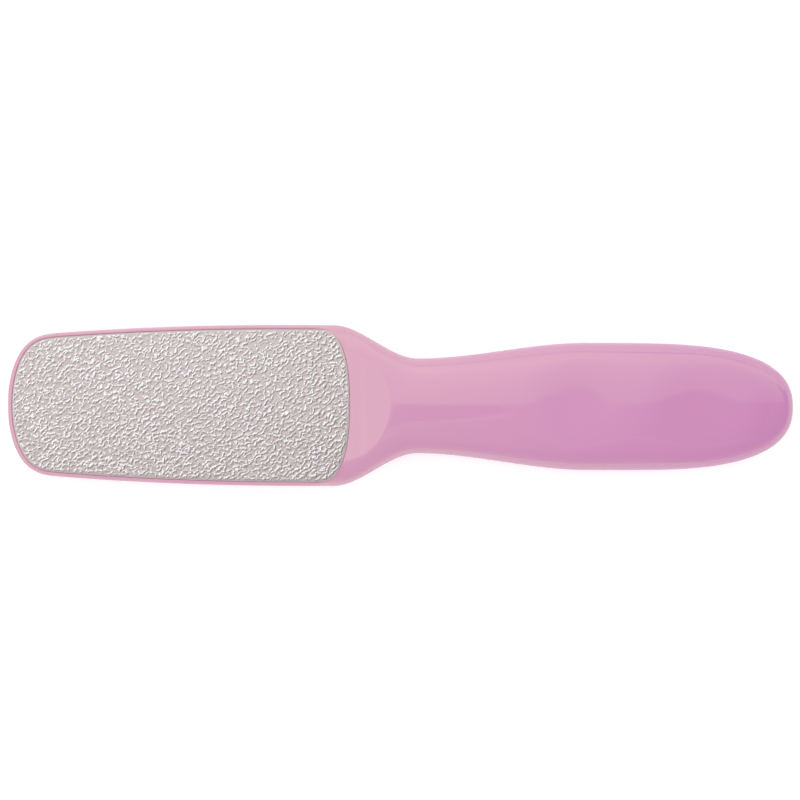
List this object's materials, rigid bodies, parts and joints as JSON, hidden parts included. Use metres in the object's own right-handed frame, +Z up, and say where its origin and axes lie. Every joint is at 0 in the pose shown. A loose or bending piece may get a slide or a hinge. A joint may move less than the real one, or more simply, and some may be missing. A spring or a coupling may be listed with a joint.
{
  "type": "foot file",
  "caption": "Paddle-shaped two-sided foot file: etched metal rasp plate and fine emery face on a moulded head, scooped neck and rounded grip with thumb rests.",
  "frame": {"origin": "on the ground, below the middle of the file's length and width", "axes": "+X from the head to the end of the handle, +Y across, +Z up through the rasp plate; the emery face is down"},
  "size_m": [0.225, 0.0464, 0.0146],
  "materials": {
    "shell": "injection-moulded gloss, pink shading to mauve along the handle",
    "rasp": "etched steel sheet with a satin nickel plating and worm-like raised ridges",
    "film": "translucent double-sided film",
    "emery": "fine grit on a backing sheet"
  },
  "bodies": {
    "root": {"front_shell": "shell", "rear_shell": "shell", "rasp_plate": "rasp", "rasp_adhesive": "film", "emery_sheet": "emery", "emery_adhesive": "film"}
  },
  "joints": []
}
